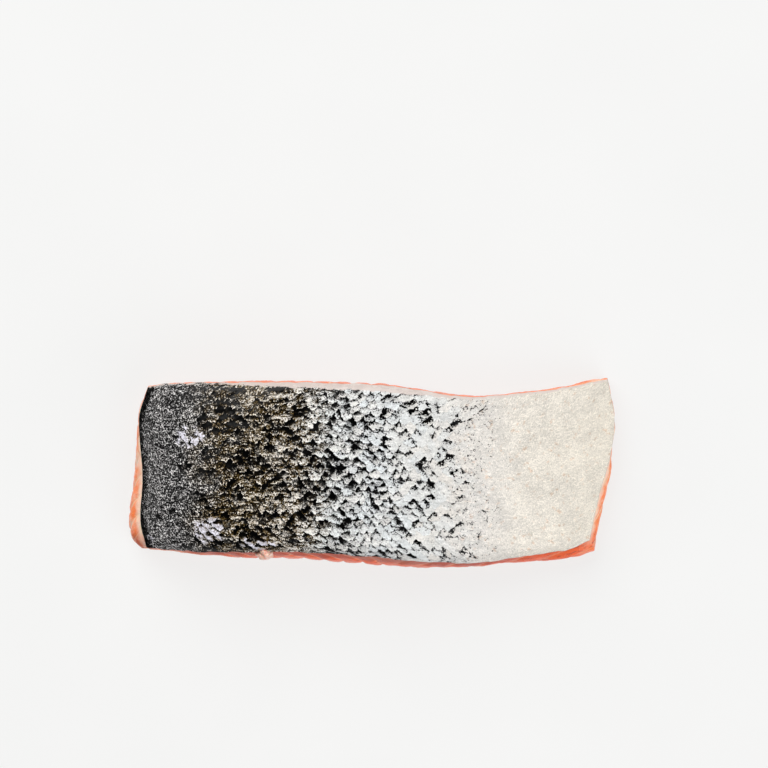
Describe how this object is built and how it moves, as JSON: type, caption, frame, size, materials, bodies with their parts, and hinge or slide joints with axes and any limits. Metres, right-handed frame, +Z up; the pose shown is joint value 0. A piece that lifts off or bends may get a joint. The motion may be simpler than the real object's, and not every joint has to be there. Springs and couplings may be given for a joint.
{
  "type": "atlantic salmon portion",
  "caption": "Skin-on portion of raw salmon fillet lying skin side up, thick at the back end and thin at the belly end.",
  "frame": {"origin": "centre of the footprint, on the surface that the flesh side lies on", "axes": "+X along the length from the thick back end to the thin belly end, +Y across to the rear cut, +Z up through the skin"},
  "size_m": [0.1348, 0.0528, 0.0269],
  "materials": {
    "salmon_flesh": "satin",
    "salmon_skin": "satin"
  },
  "bodies": {
    "root": {"salmon_portion": "salmon_flesh"}
  },
  "joints": []
}
